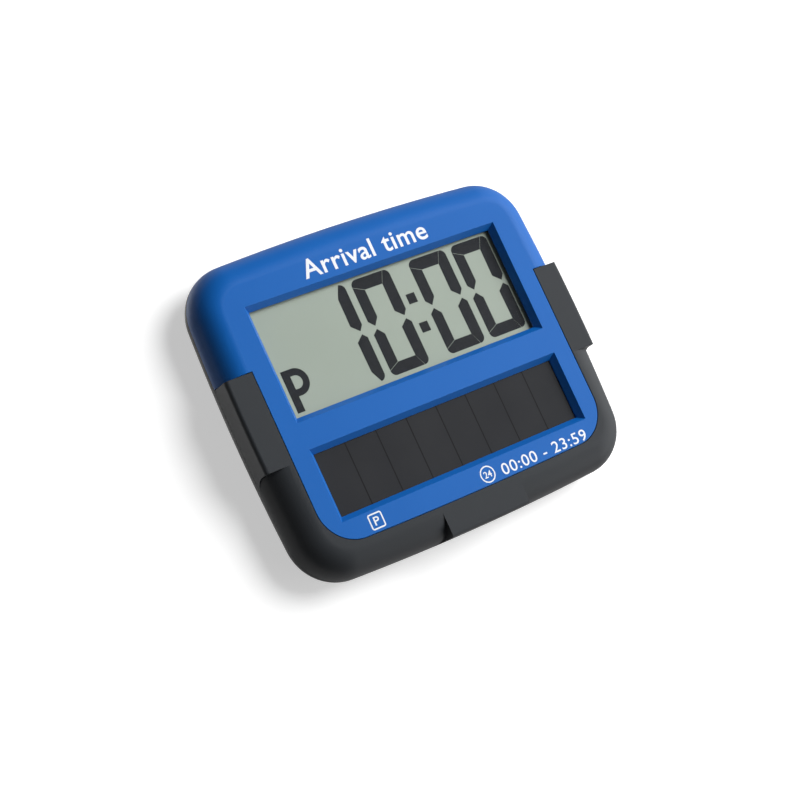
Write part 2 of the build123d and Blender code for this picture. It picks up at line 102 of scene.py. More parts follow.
def extrude_to(bm, depth):
    """Every face so far becomes the front of a solid that reaches back to a depth."""
    front = min(vert.co.y for vert in bm.verts)
    grown = bmesh.ops.extrude_face_region(bm, geom=bm.faces[:])
    moved = [item for item in grown["geom"] if isinstance(item, bmesh.types.BMVert)]
    bmesh.ops.translate(bm, vec=(0, depth - front, 0), verts=moved)
    bmesh.ops.recalc_face_normals(bm, faces=bm.faces)
    return bm


def soften(bm, edges, width, segments):
    """Round edges off with a true arc."""
    bmesh.ops.bevel(
        bm,
        geom=edges,
        offset=width,
        offset_type="OFFSET",
        segments=segments,
        profile=0.5,
        affect="EDGES",
        clamp_overlap=True,
        material=-1,
    )


def rim(bm, depth):
    """The edges that lie at a depth."""
    return [edge for edge in bm.edges if all(abs(vert.co.y - depth) < same for vert in edge.verts)]


def rolled_form(inset, front, back, front_radius=0.0, rear_radius=0.0, segments=16):
    """The casing's form between two depths, with its front or rear edge rolled."""
    bm = extrude_to(outline(inset, front), back)
    if front_radius:
        soften(bm, rim(bm, front), front_radius, segments)
    if rear_radius:
        soften(bm, rim(bm, back), rear_radius, segments)
    return bm


def plate(width, height, front, back, centre=(0, 0), corner=0.0, segments=12):
    """A flat block between two depths, with round corners if a radius is given."""
    nearly_all = 0.999  # of a radius, so that two round corners that meet don't use up their edge
    bm = bmesh.new()
    bmesh.ops.create_grid(bm, x_segments=1, y_segments=1, size=0.5)
    bmesh.ops.scale(bm, vec=(width, height, 1), verts=bm.verts)
    if corner:
        bmesh.ops.bevel(
            bm,
            geom=bm.verts[:],
            offset=corner * nearly_all,
            offset_type="OFFSET",
            segments=segments,
            profile=0.5,
            affect="VERTICES",
            clamp_overlap=False,
            material=-1,
        )
    bmesh.ops.rotate(bm, matrix=Matrix.Rotation(math.pi / 2, 3, "X"), verts=bm.verts)
    bmesh.ops.translate(bm, vec=(centre[0], front, centre[1]), verts=bm.verts)
    return extrude_to(bm, back)


def rod(radius, front, back, centre, segments=64):
    """A round block between two depths."""
    bm = bmesh.new()
    length = abs(back - front)
    bmesh.ops.create_cone(
        bm, cap_ends=True, segments=segments, radius1=radius, radius2=radius, depth=length
    )
    bmesh.ops.rotate(bm, matrix=Matrix.Rotation(math.pi / 2, 3, "X"), verts=bm.verts)
    bmesh.ops.translate(bm, vec=(centre[0], (front + back) / 2, centre[1]), verts=bm.verts)
    return bm


def tapered(steps, centre):
    """A block whose half width and half height change from one depth to the next."""
    bm = plate(2 * steps[0][0], 2 * steps[0][1], steps[0][2], steps[1][2])
    for near, far in zip(steps, steps[1:]):
        if near is not steps[0]:
            back = [f for f in bm.faces if all(abs(v.co.y - near[2]) < same for v in f.verts)]
            grown = bmesh.ops.extrude_face_region(bm, geom=back)
            moved = [item for item in grown["geom"] if isinstance(item, bmesh.types.BMVert)]
            bmesh.ops.translate(bm, vec=(0, far[2] - near[2], 0), verts=moved)
            bmesh.ops.delete(bm, geom=back, context="FACES_ONLY")
        ends = [vert for vert in bm.verts if abs(vert.co.y - far[2]) < same]
        bmesh.ops.scale(bm, vec=(far[0] / near[0], 1, far[1] / near[1]), verts=ends)
    bmesh.ops.translate(bm, vec=(centre[0], 0, centre[1]), verts=bm.verts)
    bmesh.ops.recalc_face_normals(bm, faces=bm.faces)
    return bm


def workpiece(bm, name="tool"):
    """An object made from a bmesh, which is used up."""
    mesh = bpy.data.meshes.new(name)
    bm.to_mesh(mesh)
    bm.free()
    made = bpy.data.objects.new(name, mesh)
    bpy.context.scene.collection.objects.link(made)
    return made


def settle(piece):
    """Apply a piece's modifiers."""
    shaped = piece.evaluated_get(bpy.context.evaluated_depsgraph_get())
    mesh = bpy.data.meshes.new_from_object(shaped)
    piece.modifiers.clear()
    piece.data = mesh
    return piece


def shape(piece, tool, operation="DIFFERENCE"):
    """Cut a piece with a tool, join the tool to it or keep what they share. The tool is used up."""
    modifier = piece.modifiers.new("shape", "BOOLEAN")
    modifier.operation, modifier.object, modifier.solver = operation, tool, "EXACT"
    settle(piece)
    bpy.data.objects.remove(tool)
    return piece


def soften_face_edges(piece, depth, width):
    """Round off the sharp edges that lie in a flat face."""
    bm = bmesh.new()
    bm.from_mesh(piece.data)
    bmesh.ops.remove_doubles(bm, verts=bm.verts, dist=2 * same)
    bmesh.ops.dissolve_limit(bm, angle_limit=nearly_flat, verts=bm.verts, edges=bm.edges)
    walled = [edge for edge in rim(bm, depth) if len(edge.link_faces) == 2]
    sharp = [edge for edge in walled if edge.calc_face_angle() > sharp_turn]
    soften(bm, sharp, width, segments=3)
    bm.to_mesh(piece.data)
    bm.free()


def place(piece, body, finish, replaced=()):
    """Bring a piece from millimetres to its place in metres, smooth it, and give it its finish."""
    millimetre, crease = 0.001, math.radians(35)
    piece.data.transform(Matrix.Scale(millimetre, 4))
    piece.data.materials.clear()
    piece.data.materials.append(finish)
    piece.data.shade_smooth()
    piece.data.set_sharp_from_angle(angle=crease)
    weighted = piece.modifiers.new("even_normals", "WEIGHTED_NORMAL")
    weighted.keep_sharp, weighted.weight = True, 100
    settle(piece)
    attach(piece, body)
    if replaced:
        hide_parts(*replaced)
    return piece


class Flow:
    """A shader socket. Arithmetic with it adds the Math nodes."""

    def __init__(self, finish, socket):
        self.finish, self.socket = finish, socket

    def __add__(self, other):
        return self.finish.math("ADD", self, other)

    def __mul__(self, other):
        return self.finish.math("MULTIPLY", self, other)

    __radd__ = __add__
    __rmul__ = __mul__


class Finish:
    """A material under construction."""

    def __init__(self, name):
        self.material = bpy.data.materials.new(name)
        self.material.use_nodes = True
        self.tree = self.material.node_tree
        self.tree.nodes.clear()
        self.place = self.node("ShaderNodeTexCoord", output="Object")

    def node(self, kind, settings=None, values=None, output=0):
        """Add a node: its settings first, then its sockets' values or links."""
        made = self.tree.nodes.new(kind)
        for key, setting in (settings or {}).items():
            setattr(made, key, setting)
        for key, value in (values or {}).items():
            if isinstance(value, Flow):
                self.tree.links.new(value.socket, made.inputs[key])
            else:
                made.inputs[key].default_value = value
        return Flow(self, made.outputs[output]) if made.outputs else made

    def math(self, operation, first, second):
        return self.node("ShaderNodeMath", {"operation": operation}, {0: first, 1: second})

    def noise(self, size, detail=2.0):
        """Noise whose grain is about a size in millimetres."""
        values = {"Vector": self.place, "Scale": 1000 / size, "Detail": detail}
        return self.node("ShaderNodeTexNoise", values=values)

    def between(self, factor, low, high):
        """A colour that goes from low to high with a factor."""
        low, high = (end if isinstance(end, Flow) else (*end, 1) for end in (low, high))
        values = {0: factor, 6: low, 7: high}
        return self.node("ShaderNodeMix", {"data_type": "RGBA"}, values, output=2)

    def bump(self, height, depth):
        """Bumps of a depth in millimetres."""
        return self.node("ShaderNodeBump", values={"Height": height, "Distance": depth / 1000})

    def principled(self, **values):
        named = {key.replace("_", " "): value for key, value in values.items()}
        return self.node("ShaderNodeBsdfPrincipled", values=named)

    def done(self, surface):
        self.node("ShaderNodeOutputMaterial", values={"Surface": surface})
        return self.material


def moulded(name, low, high, gloss, grain=0.22, relief=0.010):
    """Injection-moulded plastic with a spark-eroded texture: a fine grain and faint flow shades."""
    finish = Finish(name)
    cloud = finish.noise(18.0, 3.0)
    speck = finish.noise(grain, 1.0)
    return finish.done(
        finish.principled(
            Base_Color=finish.between(0.55 * cloud + 0.45 * speck, low, high),
            Roughness=gloss + 0.1 * speck,
            Specular_IOR_Level=0.5,
            Normal=finish.bump(speck, relief),
        )
    )


blue_plastic = moulded("blue_plastic", (0.003, 0.098, 0.385), (0.006, 0.123, 0.455), 0.36)


def bezel_zone(grow):
    """The space around the front panel, below the tops of the side pads."""
    top = pad_middle + pad_half_length - grow
    zone_size = (2 * well_beside, well_beside + top)
    zone = plate(*zone_size, well_ahead, parting_depth, (0, (top - well_beside) / 2))
    panel = plate(
        2 * (seam_half_width + grow),
        half_height - seam_bottom + 2 * grow,
        well_ahead - 1,
        parting_depth + 1,
        (0, (half_height + seam_bottom) / 2),
        seam_radius + grow,
        segments=16,
    )
    bottom = min(vert.co.z for vert in panel.verts)
    bottom_edges = [
        edge
        for edge in panel.edges
        if edge.calc_length() > seam_half_width
        and all(abs(vert.co.z - bottom) < same for vert in edge.verts)
    ]
    bmesh.ops.subdivide_edges(panel, edges=bottom_edges, cuts=24, use_grid_fill=True)
    for vert in panel.verts:
        if vert.co.z < 0:
            vert.co.z += seam_bow * (vert.co.x / seam_half_width) ** 2
    return shape(workpiece(zone), workpiece(panel))


seat_inset = bezel_wall + bezel_gap
past_parting = 9.0
past_wall = front_wall + 0.5
front_shell = rolled_form(0, print_room, parting_depth, front_roll)
front_shell = workpiece(front_shell, "front_shell_moulding")
cavity = rolled_form(side_wall, front_wall, parting_depth + 1, front_roll - side_wall, segments=8)
shape(front_shell, workpiece(cavity))
bezel_room = bezel_zone(0)
seat = rolled_form(seat_inset, seat_inset, past_parting, front_roll - seat_inset)
shape(bezel_room, workpiece(seat))
shape(front_shell, bezel_room)
for middle, half in ((display_middle, display_half_height), (solar_middle, solar_half_height)):
    clear_width, clear_height = window_half_width - bevel_width, half - bevel_width
    window = tapered(
        [
            (window_half_width, half, -1),
            (window_half_width, half, print_room),
            (clear_width, clear_height, bevel_depth),
            (clear_width, clear_height, past_wall),
        ],
        (0, middle),
    )
    shape(front_shell, workpiece(window))
soften_face_edges(front_shell, print_room, edge_softness)
place(front_shell, "casing", blue_plastic, ["front_shell"])

# Lower bezel. A dark grey moulded U, pressed over the step of the front shell and flush with its
# face. Its three flat pads, each with a scoop at both ends, carry the adhesive strips that meet the
# windscreen.
pad_edge = 1.0
pad_reach = 60.0
pad_overlap = 1.0
scoop_radius = 4.2
pad_end_softness = 0.7
parting_margin = 0.1  # edges this near the parting line stay sharp


def pad_block(toward, middle, inner):
    """A pad that reaches outwards past the casing: flat on the face, with a scoop at each end."""
    foot = pad_half_length + scoop_radius
    scoop_start = parting_depth - scoop_radius
    bm = bmesh.new()
    profile = [bm.verts.new((-foot, parting_depth, 0))]
    spun = bmesh.ops.spin(
        bm,
        geom=profile,
        cent=(-foot, scoop_start, 0),
        axis=(0, 0, 1),
        angle=-math.pi / 2,
        steps=12,
    )
    last = [item for item in spun["geom_last"] if isinstance(item, bmesh.types.BMVert)][0]
    top = bm.verts.new((-pad_half_length, 0, 0))
    middle_top = bm.verts.new((0, 0, 0))
    bm.edges.new((last, top))
    bm.edges.new((top, middle_top))
    bmesh.ops.mirror(bm, geom=bm.verts[:] + bm.edges[:], axis="X", merge_dist=same)
    bmesh.ops.remove_doubles(bm, verts=bm.verts, dist=same)
    ends = [vert for vert in bm.verts if abs(abs(vert.co.x) - foot) < same]
    bm.edges.new(ends)
    bmesh.ops.contextual_create(bm, geom=bm.edges[:])
    grown = bmesh.ops.extrude_face_region(bm, geom=bm.faces[:])
    moved = [item for item in grown["geom"] if isinstance(item, bmesh.types.BMVert)]
    bmesh.ops.translate(bm, vec=(0, 0, pad_reach - inner), verts=moved)
    bmesh.ops.translate(bm, vec=(middle, 0, inner), verts=bm.verts)
    bmesh.ops.rotate(bm, matrix=Matrix.Rotation(toward, 3, "Y"), verts=bm.verts)
    bmesh.ops.recalc_face_normals(bm, faces=bm.faces)
    return bm


lower_bezel = workpiece(rolled_form(0, 0, parting_depth, front_roll), "lower_bezel_moulding")
for toward, middle, inner in (
    (math.pi / 2, -pad_middle, seam_half_width - pad_overlap),
    (-math.pi / 2, pad_middle, seam_half_width - pad_overlap),
    (math.pi, 0.0, -seam_bottom - pad_overlap),
):
    pad = workpiece(pad_block(toward, middle, inner))
    shape(pad, workpiece(rolled_form(0, 0, parting_depth, pad_edge, segments=6)), "INTERSECT")
    bm = bmesh.new()
    bm.from_mesh(pad.data)
    bmesh.ops.remove_doubles(bm, verts=bm.verts, dist=2 * same)
    along = Matrix.Rotation(toward, 3, "Y") @ Vector((1, 0, 0))
    end_verts = {
        vert
        for vert in bm.verts
        if abs(abs(vert.co.dot(along) - middle) - pad_half_length) < 10 * same
    }
    pad_ends = [
        edge
        for edge in bm.edges
        if len(edge.link_faces) == 2
        and edge.calc_face_angle() > sharp_turn
        and end_verts.issuperset(edge.verts)
        and max(abs(vert.co.y - parting_depth) for vert in edge.verts) > parting_margin
    ]
    soften(bm, pad_ends, pad_end_softness, 5)
    bm.to_mesh(pad.data)
    bm.free()
    shape(lower_bezel, pad, "UNION")
shape(lower_bezel, bezel_zone(seam_gap), "INTERSECT")
hollow = rolled_form(bezel_wall, bezel_wall, past_parting, front_roll - bezel_wall)
shape(lower_bezel, workpiece(hollow))
soften_face_edges(lower_bezel, 0.0, edge_softness)
grey_plastic = moulded("grey_plastic", (0.025, 0.028, 0.032), (0.035, 0.039, 0.044), 0.36)
place(lower_bezel, "casing", grey_plastic, ["lower_bezel"])

# Printing on the face. One pass of white pad-printing ink on the blue plastic, a hundredth or two
# of a millimetre thick: the title, a boxed letter, and a ringed mark beside the hours that the disc
# covers.
ink_thickness, ink_sink = 0.015, 0.01
ink_depth = print_room - ink_thickness
title_left, title_right, title_base, title_capital = -19.4, 18.1, 30.05, 4.75
title_boldness, title_spacing = 0.13, 1.06
hours_left, hours_right, hours_base, hours_height = 8.5, 36.0, -33.0, 2.9
hours_boldness, hours_spacing = 0.05, 1.1
box_left, box_bottom, box_side, box_corner, box_line = -31.4, -32.8, 4.0, 0.6, 0.36
letter_from_box, letter_height, letter_width = (1.25, 0.95), 2.1, 1.55
ring_x, ring_z, ring_radius, ring_line = 4.2, -31.15, 2.2, 0.34
mark_height, mark_width, mark_boldness = 1.7, 2.3, 0.1


def lettering(text, left, base, height, width, boldness, spacing=1.0):
    """Words upright on the face, fitted to their first letter's height and to their whole width."""
    type_size, first_letter_end = 10.0, 6.0
    curve = bpy.data.curves.new("type", "FONT")
    curve.body, curve.size, curve.offset = text, type_size, boldness
    curve.space_character, curve.resolution_u = spacing, 6
    typed = bpy.data.objects.new("type", curve)
    bpy.context.scene.collection.objects.link(typed)
    bpy.context.view_layer.update()
    typed_now = typed.evaluated_get(bpy.context.evaluated_depsgraph_get())
    mesh = bpy.data.meshes.new_from_object(typed_now)
    bpy.data.objects.remove(typed)
    bm = bmesh.new()
    bm.from_mesh(mesh)
    bpy.data.meshes.remove(mesh)
    bmesh.ops.remove_doubles(bm, verts=bm.verts, dist=same / 2)
    low = Vector((min(v.co.x for v in bm.verts), 0, 0))
    wide = max(v.co.x for v in bm.verts) - low.x
    bmesh.ops.translate(bm, vec=-low, verts=bm.verts)
    tall = max(v.co.y for v in bm.verts if v.co.x < first_letter_end)
    bmesh.ops.scale(bm, vec=(width / wide, height / tall, 1), verts=bm.verts)
    bmesh.ops.rotate(bm, matrix=Matrix.Rotation(math.pi / 2, 3, "X"), verts=bm.verts)
    bmesh.ops.translate(bm, vec=(left, ink_depth, base), verts=bm.verts)
    return bm


def frame_line(bm, width):
    """A flat face becomes a frame whose line has a width."""
    inset = bmesh.ops.inset_region(
        bm, faces=bm.faces[:], thickness=width, use_boundary=True, use_even_offset=True
    )
    middle = [face for face in bm.faces if face not in inset["faces"]]
    bmesh.ops.delete(bm, geom=middle, context="FACES")
    return bm


def printed_tile(side, centre, corner):
    """A flat square of ink with round corners."""
    bm = plate(side, side, ink_depth, ink_depth + 1, centre, corner, segments=8)
    rest = [face for face in bm.faces if face.calc_center_median().y > ink_depth + same]
    bmesh.ops.delete(bm, geom=rest, context="FACES")
    return bm


ink = Finish("white_ink")
ink_speck = ink.noise(0.12, 2.0)
white_ink = ink.done(
    ink.principled(
        Base_Color=ink.between(ink_speck, (0.72, 0.74, 0.78), (0.90, 0.91, 0.93)),
        Roughness=0.45 + 0.1 * ink_speck,
        Normal=ink.bump(ink_speck, 0.003),
    )
)
box_centre = (box_left + box_side / 2, box_bottom + box_side / 2)
printed = {
    "title_print": lettering(
        "Arrival time",
        title_left,
        title_base,
        title_capital,
        title_right - title_left,
        title_boldness,
        title_spacing,
    ),
    "hours_print": lettering(
        "00:00 - 23:59",
        hours_left,
        hours_base,
        hours_height,
        hours_right - hours_left,
        hours_boldness,
        hours_spacing,
    ),
    "boxed_letter_print": lettering(
        "P",
        box_left + letter_from_box[0],
        box_bottom + letter_from_box[1],
        letter_height,
        letter_width,
        mark_boldness,
    ),
    "letter_box_print": frame_line(printed_tile(box_side, box_centre, box_corner), box_line),
    "ring_print": frame_line(
        printed_tile(2 * ring_radius, (ring_x, ring_z), ring_radius), ring_line
    ),
    "ring_mark_print": lettering(
        "24",
        ring_x - mark_width / 2,
        ring_z - mark_height / 2,
        mark_height,
        mark_width,
        mark_boldness,
    ),
}
for name, bm in printed.items():
    extrude_to(bm, print_room + ink_sink)
    place(workpiece(bm, name), "casing", white_ink)

# Display. A clear acrylic window behind the blue frame, and behind it a liquid-crystal cell: two
# thin glass plates with the figures between them, and a pale green-grey reflector film on the back.
figure_depth, figure_thickness = 2.825, 0.03
figure_back = figure_depth + figure_thickness
figure_base, figure_height, figure_width = 0.36, 26.15, 11.65
figure_round = 2.1
bars = {
    "top": [(0, 24.41), (0, 26.15), (9.94, 26.15), (8.4, 22.9), (3.15, 22.9)],
    "upper_right": [
        (10.04, 26.15),
        (11.65, 26.15),
        (11.65, 14.9),
        (10.5, 13.45),
        (8.38, 15.3),
        (8.46, 22.85),
    ],
    "lower_right": [
        (10.5, 12.6),
        (11.65, 11.45),
        (11.65, 0),
        (10.02, 0),
        (8.48, 2.98),
        (8.38, 10.9),
    ],
    "bottom": [(0, 0), (0, 1.54), (3.15, 3.08), (8.4, 3.05), (9.92, 0)],
    "lower_left": [(0, 1.64), (0, 11.35), (1.5, 12.6), (3.1, 10.8), (3.1, 3.16)],
    "upper_left": [(0, 24.32), (3.1, 22.8), (3.1, 15.45), (1.5, 13.45), (0, 14.95)],
}
figures = {-20.52: ("upper_right", "lower_right"), -7.02: bars, 10.73: bars, 24.23: bars}
figure_corners = [(0, 0), (0, figure_height), (figure_width, 0), (figure_width, figure_height)]
colon_x, colon_middles, dot_width, dot_height = 7.5, (9.28, 17.23), 2.6, 2.65
dark_crystal = moulded(
    "dark_crystal", (0.014, 0.016, 0.019), (0.022, 0.024, 0.028), 0.5, relief=0.0
)


def bar_face(points, left):
    """One bar of a figure as a flat face, rounded where it makes an outer corner of the figure."""
    bm = bmesh.new()
    corners = [bm.verts.new((left + x, figure_depth, figure_base + z)) for x, z in points]
    bm.faces.new(corners)
    round_ones = [corner for corner, point in zip(corners, points) if point in figure_corners]
    if round_ones:
        bmesh.ops.bevel(
            bm,
            geom=round_ones,
            offset=figure_round,
            offset_type="OFFSET",
            segments=8,
            profile=0.5,
            affect="VERTICES",
            clamp_overlap=True,
            material=-1,
        )
    return bm


def join(shapes, name):
    """Several bmeshes as one object."""
    whole = bpy.data.meshes.new(name)
    together = bmesh.new()
    for bm in shapes:
        bm.to_mesh(whole)
        bm.free()
        together.from_mesh(whole)
    return workpiece(together, name)


shapes = []
for left, lit in figures.items():
    for bar in lit:
        shapes.append(extrude_to(bar_face(bars[bar], left), figure_back))
for middle in colon_middles:
    shapes.append(plate(dot_width, dot_height, figure_depth, figure_back, (colon_x, middle)))
place(join(shapes, "time_figures"), "casing", dark_crystal)

letter_left, letter_base, letter_top = -35.17, 0.21, 11.06
stem_width, bowl_outer, bowl_inner, bowl_start = 2.1, 3.5, 1.7, 3.05
bowl_middle = letter_top - bowl_outer
bowl_x = letter_left + bowl_start
bm = bmesh.new()
inner_end = bm.verts.new((bowl_x, figure_depth, bowl_middle + bowl_inner))
outer_end = bm.verts.new((bowl_x, figure_depth, bowl_middle + bowl_outer))
bm.edges.new((inner_end, outer_end))
bmesh.ops.spin(
    bm,
    geom=bm.verts[:] + bm.edges[:],
    cent=(bowl_x, figure_depth, bowl_middle),
    axis=(0, 1, 0),
    angle=math.pi,
    steps=24,
)
open_ends = [e for e in bm.edges if all(abs(vert.co.x - bowl_x) < same for vert in e.verts)]
for end in open_ends:
    grown = bmesh.ops.extrude_edge_only(bm, edges=[end])
    moved = [item for item in grown["geom"] if isinstance(item, bmesh.types.BMVert)]
    bmesh.ops.translate(bm, vec=(letter_left + stem_width - bowl_x, 0, 0), verts=moved)
bowl = extrude_to(bm, figure_back)
stem_middle = (letter_left + stem_width / 2, (letter_top + letter_base) / 2)
stem = plate(stem_width, letter_top - letter_base, figure_depth, figure_back, stem_middle)
place(join([bowl, stem], "parking_letter"), "casing", dark_crystal)

film = Finish("reflector_film")
film_tone = 0.7 * film.noise(30.0, 2.0) + 0.3 * film.noise(0.35, 2.0)
film_colour = film.between(film_tone, (0.33, 0.385, 0.33), (0.40, 0.45, 0.39))
film.done(film.principled(Base_Color=film_colour, Roughness=0.6))
clear = Finish("clear_acrylic")
clear_gloss = 0.10 + 0.05 * clear.noise(6.0)
clear.done(clear.principled(Base_Color=(0.02, 0.02, 0.02, 1), Roughness=clear_gloss, Alpha=0.025))
for name, finish in (
    ("display_lens", clear),
    ("lcd_front_glass", film),
    ("lcd_rear_glass", film),
    ("lcd_reflector", film),
):
    nodes[name].data.materials[0] = finish.material

# Solar panel. One glass plate with eight cells of dark amorphous silicon on its back. The thin
# darker lines between them are where the film is scribed away to join cell to cell.
cell_pitch = 9.17
half_scribe = 0.017  # as a share of the pitch
solar = Finish("solar_film")
across = solar.node("ShaderNodeSeparateXYZ", values={"Vector": solar.place}, output="X")
from_scribe = solar.math("PINGPONG", across * (1000 / cell_pitch), 0.5)
scribed = solar.math("LESS_THAN", from_scribe, half_scribe)
cell_tone = solar.between(solar.noise(14.0), (0.018, 0.019, 0.022), (0.027, 0.028, 0.031))
solar.done(
    solar.principled(
        Base_Color=solar.between(scribed, cell_tone, (0.008, 0.008, 0.009)),
        Roughness=0.34 + 0.1 * solar.noise(1.5),
        Specular_IOR_Level=0.25,
        Normal=solar.bump(solar.noise(0.4), 0.002),
    )
)
nodes["solar_panel"].data.materials[0] = solar.material

# Rear cover. Black moulded back shell with rolled edges, screwed to the front shell from behind. It
# has the holes of the three keys, two round pockets for the cells, and the grooves that the battery
# door slides in.
body_depth = 13.6
rear_roll, rear_wall = 6.3, 1.8
rear_front = parting_depth + 0.1
bay_half_width, bay_top, bay_bottom, bay_front = 26.55, -7.55, -35.15, 5.9
cell_x, cell_middle, pocket_radius = 12.9, -21.2, 12.55
cell_floor, channel_height = 6.9, 12.25
door_half_width, door_tongue, door_gap = 28.5, 1.2, 0.15
door_top, door_inner, door_shoulder = -7.9, 12.5, 13.05
key_middles, key_height = (-16.0, 0.0, 16.0), 22.0
key_length, key_width, key_gap = 9.7, 5.1, 0.15
screw_places = [(x, z) for x in (-35.5, 35.5) for z in (-5.65, -31.3)]
screw_seat, seat_radius, shank_radius = 10.325, 2.05, 1.15
door_reach = 84.0  # down past the casing's lower edge
hole_front, shank_front = 10.0, 5.0
back_softness = 0.2

rear_plastic = moulded(
    "rear_plastic", (0.018, 0.020, 0.023), (0.027, 0.029, 0.033), 0.46, 0.3, 0.014
)
rear_cover = workpiece(rolled_form(0, rear_front, body_depth, 0, rear_roll), "rear_cover_moulding")
hollow_front, hollow_back = parting_depth - 1, body_depth - rear_wall
hollow = rolled_form(side_wall, hollow_front, hollow_back, 0, rear_roll - side_wall, segments=8)
hollow = workpiece(hollow)
bay_size = (2 * bay_half_width, bay_top - bay_bottom)
bay_middle = (0, (bay_top + bay_bottom) / 2)
shape(hollow, workpiece(plate(*bay_size, 0, well_behind, bay_middle)))
shape(rear_cover, hollow)
shape(rear_cover, workpiece(plate(*bay_size, bay_front, rear_front + 1, bay_middle)), "UNION")
for x in (-cell_x, cell_x):
    pocket = rod(pocket_radius, cell_floor, well_behind, (x, cell_middle))
    shape(rear_cover, workpiece(pocket))
channel = plate(2 * cell_x, channel_height, cell_floor, well_behind, (0, cell_middle))
shape(rear_cover, workpiece(channel))
opening_top = door_top + door_gap
for half, front, back in (
    (door_half_width + door_tongue + door_gap, door_inner - door_gap, door_shoulder + door_gap / 2),
    (door_half_width + door_gap, door_inner, well_behind),
):
    opening = plate(2 * half, door_reach, front, back, (0, opening_top - door_reach / 2))
    shape(rear_cover, workpiece(opening))
for x in key_middles:
    hole_size = (key_length + 2 * key_gap, key_width + 2 * key_gap)
    hole_end = hole_size[1] / 2
    hole = plate(*hole_size, hole_front, well_behind, (x, key_height), hole_end, segments=16)
    shape(rear_cover, workpiece(hole))
for centre in screw_places:
    shape(rear_cover, workpiece(rod(seat_radius, screw_seat, well_behind, centre, segments=48)))
    shape(rear_cover, workpiece(rod(shank_radius, shank_front, well_behind, centre, segments=32)))
soften_face_edges(rear_cover, body_depth, back_softness)
place(rear_cover, "casing", rear_plastic, ["rear_cover"])

# Battery door. A plate moulded in the rear cover's black plastic, flush with the back and rolled
# with it at its lower edge. A tongue along each side slides in a groove of the cover, and five
# shallow grooves give the thumb a grip.
grip_count, grip_pitch, grip_half_width, grip_depth = 5, 1.6, 6.5, 0.3
grip_half_height, grip_floor, grip_slope = 0.4, 0.15, 0.25
door_softness, lid_overlap = 0.15, 0.2
battery_door = rolled_form(0, rear_front, body_depth, 0, rear_roll)
battery_door = workpiece(battery_door, "battery_door_moulding")
blank_width = 2 * (door_half_width + door_tongue)
blank_middle = (0, door_top - door_reach / 2)
blank = workpiece(plate(blank_width, door_reach, door_inner, door_shoulder, blank_middle))
lid_front = door_shoulder - lid_overlap
lid = plate(2 * door_half_width, door_reach, lid_front, well_behind, blank_middle)
shape(blank, workpiece(lid), "UNION")
shape(battery_door, blank, "INTERSECT")
for step in range(grip_count):
    z = door_top - grip_count * grip_pitch + (step - (grip_count - 1) / 2) * grip_pitch
    groove = tapered(
        [
            (grip_half_width - grip_slope, grip_floor, body_depth - grip_depth),
            (grip_half_width, grip_half_height, body_depth),
            (grip_half_width, grip_half_height, body_depth + 1),
        ],
        (0, z),
    )
    shape(battery_door, workpiece(groove))
soften_face_edges(battery_door, body_depth, door_softness)
place(battery_door, "battery_door", rear_plastic, ["battery_door"])

# Keys. Three dark grey moulded keys that stand a little proud of the back. Each is kept in its hole
# by a wide lip inside the rear cover, and its stem meets the plunger of its switch.
key_plastic = moulded(
    "key_plastic", (0.075, 0.080, 0.088), (0.095, 0.100, 0.110), 0.38, 0.25, 0.008
)
stem_radius, plunger_end = 1.7, 10.5
lip_back, lip_thickness, lip_width = 11.7, 0.8, 0.9
key_back, key_softness, cap_overlap = 14.1, 0.42, 0.3
for side, x in zip(("right", "middle", "left"), key_middles):
    centre = (x, key_height)
    key = rod(stem_radius, plunger_end, lip_back, centre, segments=32)
    key = workpiece(key, f"key_{side}_moulding")
    lip = plate(
        key_length + 2 * lip_width,
        key_width + 2 * lip_width,
        lip_back - lip_thickness,
        lip_back,
        centre,
        key_width / 2 + lip_width,
        segments=16,
    )
    shape(key, workpiece(lip), "UNION")
    cap_front = lip_back - cap_overlap
    cap = plate(key_length, key_width, cap_front, key_back, centre, key_width / 2, segments=16)
    soften(cap, rim(cap, key_back), key_softness, 6)
    shape(key, workpiece(cap), "UNION")
    place(key, f"key_{side}", key_plastic, [f"key_{side}"])

# Inner pieces. Screws, glass carrier, circuit board and its components, contacts and cells. Each
# keeps its own shape, and takes the finish of its real material.
def plain(name, low, high, gloss, metal=0.0, grain=2.0, relief=0.004):
    """A finish with cloudy tone and small uneven gloss, for metal, laminate, rubber and epoxy."""
    finish = Finish(name)
    cloud = finish.noise(grain, 4.0)
    return finish.done(
        finish.principled(
            Base_Color=finish.between(cloud, low, high),
            Roughness=gloss + 0.12 * cloud,
            Metallic=metal,
            Normal=finish.bump(finish.noise(grain / 5), relief),
        )
    )


steel = plain("zinc_steel", (0.45, 0.46, 0.48), (0.62, 0.63, 0.65), 0.25, 1.0)
brass = plain("nickel_brass", (0.55, 0.50, 0.38), (0.70, 0.64, 0.50), 0.25, 1.0)
cell_steel = plain("cell_steel", (0.55, 0.56, 0.57), (0.70, 0.71, 0.72), 0.18, 1.0, 4.0, 0.002)
laminate = plain("board_laminate", (0.008, 0.085, 0.035), (0.014, 0.13, 0.05), 0.35)
epoxy = plain("chip_epoxy", (0.012, 0.012, 0.013), (0.020, 0.020, 0.021), 0.45, 0.0, 0.5)
rubber = plain("contact_rubber", (0.03, 0.03, 0.03), (0.12, 0.11, 0.11), 0.6, 0.0, 0.3)
white = plain("white_plastic", (0.60, 0.60, 0.57), (0.72, 0.72, 0.69), 0.4)
foam = plain("black_foam", (0.02, 0.02, 0.02), (0.05, 0.05, 0.05), 0.85, 0.0, 0.6, 0.05)
ribbon = plain("ribbon_film", (0.35, 0.13, 0.02), (0.48, 0.20, 0.04), 0.3)
